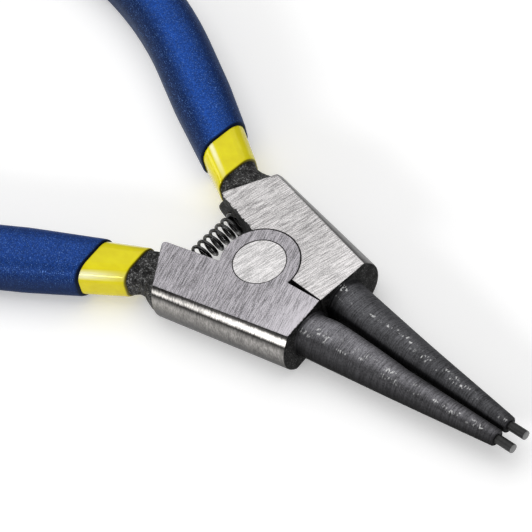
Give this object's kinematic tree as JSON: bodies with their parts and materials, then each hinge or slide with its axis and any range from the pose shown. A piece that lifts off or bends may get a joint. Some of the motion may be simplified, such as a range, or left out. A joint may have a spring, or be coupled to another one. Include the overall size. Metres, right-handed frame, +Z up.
{
  "type": "external circlip pliers",
  "caption": "Straight-nosed external circlip pliers: forged halves on a flush rivet, round noses with tip pins, return spring, sleeved handles; squeezing the handles opens the tips.",
  "frame": {"origin": "on the rivet axis at the head's ground underside", "axes": "+X along the centre line to the tips, +Y to the left half, +Z up along the rivet"},
  "size_m": [0.18, 0.0954, 0.01],
  "materials": {
    "ground_steel": "ground head faces, black forged nose and tang",
    "rivet_steel": "ground flush",
    "spring_wire": "black, glossy",
    "pin_steel": "blackened, bright ends",
    "yellow_sleeve": "glossy dipped vinyl",
    "blue_sleeve": "satin dipped vinyl with fine glitter"
  },
  "bodies": {
    "right_half": {"right_arm": "ground_steel", "pivot_rivet": "rivet_steel", "return_spring": "spring_wire", "right_tip_pin": "pin_steel", "right_collar": "yellow_sleeve", "right_grip": "blue_sleeve"},
    "left_half": {"left_arm": "ground_steel", "left_tip_pin": "pin_steel", "left_collar": "yellow_sleeve", "left_grip": "blue_sleeve"}
  },
  "joints": [
    {"name": "pivot", "type": "hinge", "parent": "right_half", "child": "left_half", "pos_m": [0, 0, 0.005], "axis": [0, 0, 1], "range_deg": [0, 22], "stiffness_Nm_per_rad": 0.42, "springref_deg": -8.59, "deforming": ["return_spring"]}
  ]
}
